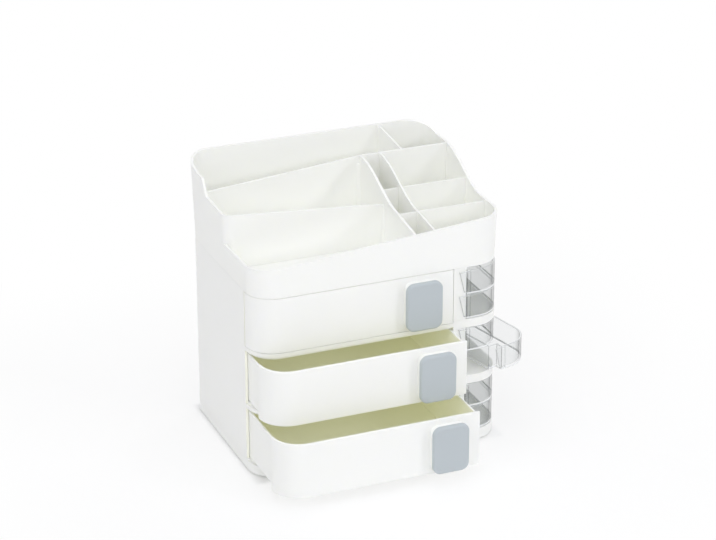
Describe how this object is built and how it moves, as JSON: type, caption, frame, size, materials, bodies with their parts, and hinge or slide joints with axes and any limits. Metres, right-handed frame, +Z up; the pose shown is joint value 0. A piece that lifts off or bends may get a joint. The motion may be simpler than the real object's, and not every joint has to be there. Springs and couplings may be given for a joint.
{
  "type": "makeup organizer",
  "caption": "Free-standing makeup organizer: a white cabinet with sliding drawers, clear swivel trays at its right side and a stepped, divided tray on top.",
  "frame": {"origin": "centre of the cabinet's footprint, on the plane its feet stand on", "axes": "+Z up, -Y out of the drawer fronts, +X towards the swivel trays"},
  "size_m": [0.278, 0.2432, 0.2648],
  "materials": {
    "white_plastic": "satin",
    "grey_plastic": "matt",
    "clear_plastic": "clear, polished",
    "steel": "drawn",
    "rubber": "matt"
  },
  "bodies": {
    "casing": {"base_plate": "white_plastic", "casing_shell": "white_plastic", "lower_shelf": "white_plastic", "upper_shelf": "white_plastic", "lower_partition": "white_plastic", "middle_partition": "white_plastic", "upper_partition": "white_plastic", "top_tray": "white_plastic", "hinge_rod": "steel", "foot_front_left": "rubber", "foot_front_right": "rubber", "foot_rear_left": "rubber", "foot_rear_right": "rubber"},
    "upper_drawer": {"upper_drawer": "white_plastic", "upper_drawer_handle": "grey_plastic"},
    "middle_drawer": {"middle_drawer": "white_plastic", "middle_drawer_handle": "grey_plastic"},
    "lower_drawer": {"lower_drawer": "white_plastic", "lower_drawer_handle": "grey_plastic"},
    "upper_bay_high_tray": {"upper_bay_high_tray": "clear_plastic"},
    "upper_bay_low_tray": {"upper_bay_low_tray": "clear_plastic"},
    "middle_bay_high_tray": {"middle_bay_high_tray": "clear_plastic"},
    "middle_bay_low_tray": {"middle_bay_low_tray": "clear_plastic"},
    "lower_bay_high_tray": {"lower_bay_high_tray": "clear_plastic"},
    "lower_bay_low_tray": {"lower_bay_low_tray": "clear_plastic"}
  },
  "joints": [
    {"name": "upper_drawer_slide", "type": "slide", "parent": "casing", "child": "upper_drawer", "axis": [0, -1, 0], "range_m": [0, 0.12]},
    {"name": "middle_drawer_slide", "type": "slide", "parent": "casing", "child": "middle_drawer", "axis": [0, -1, 0], "range_m": [-0.032, 0.088]},
    {"name": "lower_drawer_slide", "type": "slide", "parent": "casing", "child": "lower_drawer", "axis": [0, -1, 0], "range_m": [-0.062, 0.058]},
    {"name": "upper_bay_high_tray_swing", "type": "hinge", "parent": "casing", "child": "upper_bay_high_tray", "pos_m": [0.1125, 0.072, 0.1], "axis": [0, 0, 1], "range_deg": [0, 90]},
    {"name": "upper_bay_low_tray_swing", "type": "hinge", "parent": "casing", "child": "upper_bay_low_tray", "pos_m": [0.1125, 0.072, 0.1], "axis": [0, 0, 1], "range_deg": [0, 90]},
    {"name": "middle_bay_high_tray_swing", "type": "hinge", "parent": "casing", "child": "middle_bay_high_tray", "pos_m": [0.1125, 0.072, 0.1], "axis": [0, 0, 1], "range_deg": [0, 90]},
    {"name": "middle_bay_low_tray_swing", "type": "hinge", "parent": "casing", "child": "middle_bay_low_tray", "pos_m": [0.1125, 0.072, 0.1], "axis": [0, 0, 1], "range_deg": [-13, 77]},
    {"name": "lower_bay_high_tray_swing", "type": "hinge", "parent": "casing", "child": "lower_bay_high_tray", "pos_m": [0.1125, 0.072, 0.1], "axis": [0, 0, 1], "range_deg": [0, 90]},
    {"name": "lower_bay_low_tray_swing", "type": "hinge", "parent": "casing", "child": "lower_bay_low_tray", "pos_m": [0.1125, 0.072, 0.1], "axis": [0, 0, 1], "range_deg": [0, 90]}
  ]
}
